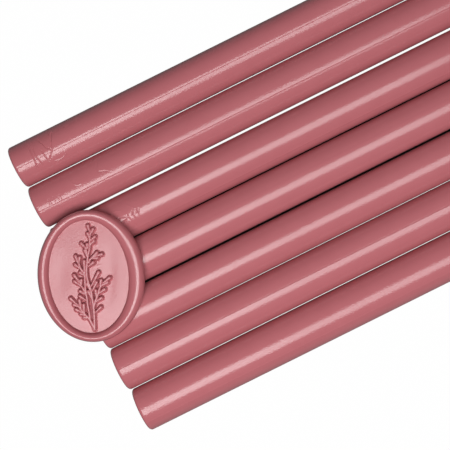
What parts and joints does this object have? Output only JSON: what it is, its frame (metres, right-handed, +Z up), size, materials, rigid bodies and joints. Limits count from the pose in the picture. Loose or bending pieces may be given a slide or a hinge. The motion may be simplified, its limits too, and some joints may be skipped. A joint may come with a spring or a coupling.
{
  "type": "sealing wax stick set",
  "caption": "Row of round glue-gun sealing wax sticks with rounded ends, and a stamped oval wax seal with a rolled rim and raised sprig lying on them.",
  "frame": {"origin": "on the table, under the middle of the set's box", "axes": "+X along the sticks, away from the seal; +Y across the row, towards the first stick; +Z up"},
  "size_m": [0.1438, 0.0782, 0.0145],
  "materials": {
    "stick_wax": "satin moulded wax",
    "seal_wax": "satin pressed wax"
  },
  "bodies": {
    "stick_1": {"wax_stick_1": "stick_wax"},
    "stick_2": {"wax_stick_2": "stick_wax"},
    "stick_3": {"wax_stick_3": "stick_wax"},
    "stick_4": {"wax_stick_4": "stick_wax"},
    "stick_5": {"wax_stick_5": "stick_wax"},
    "stick_6": {"wax_stick_6": "stick_wax"},
    "stick_7": {"wax_stick_7": "stick_wax"},
    "seal": {"wax_seal": "seal_wax"}
  },
  "joints": [
    {"name": "stick_1_slide", "type": "slide", "parent": "stick_4", "child": "stick_1", "axis": [1, 0, 0], "range_m": [0, 0.14]},
    {"name": "stick_2_slide", "type": "slide", "parent": "stick_4", "child": "stick_2", "axis": [1, 0, 0], "range_m": [0, 0.14]},
    {"name": "stick_3_slide", "type": "slide", "parent": "stick_4", "child": "stick_3", "axis": [1, 0, 0], "range_m": [0, 0.14]},
    {"name": "stick_5_slide", "type": "slide", "parent": "stick_4", "child": "stick_5", "axis": [1, 0, 0], "range_m": [0, 0.14]},
    {"name": "stick_6_slide", "type": "slide", "parent": "stick_4", "child": "stick_6", "axis": [1, 0, 0], "range_m": [0, 0.14]},
    {"name": "stick_7_slide", "type": "slide", "parent": "stick_4", "child": "stick_7", "axis": [1, 0, 0], "range_m": [0, 0.14]},
    {"name": "seal_lift", "type": "slide", "parent": "stick_4", "child": "seal", "axis": [0, 0, 1], "range_m": [0, 0.04]}
  ]
}
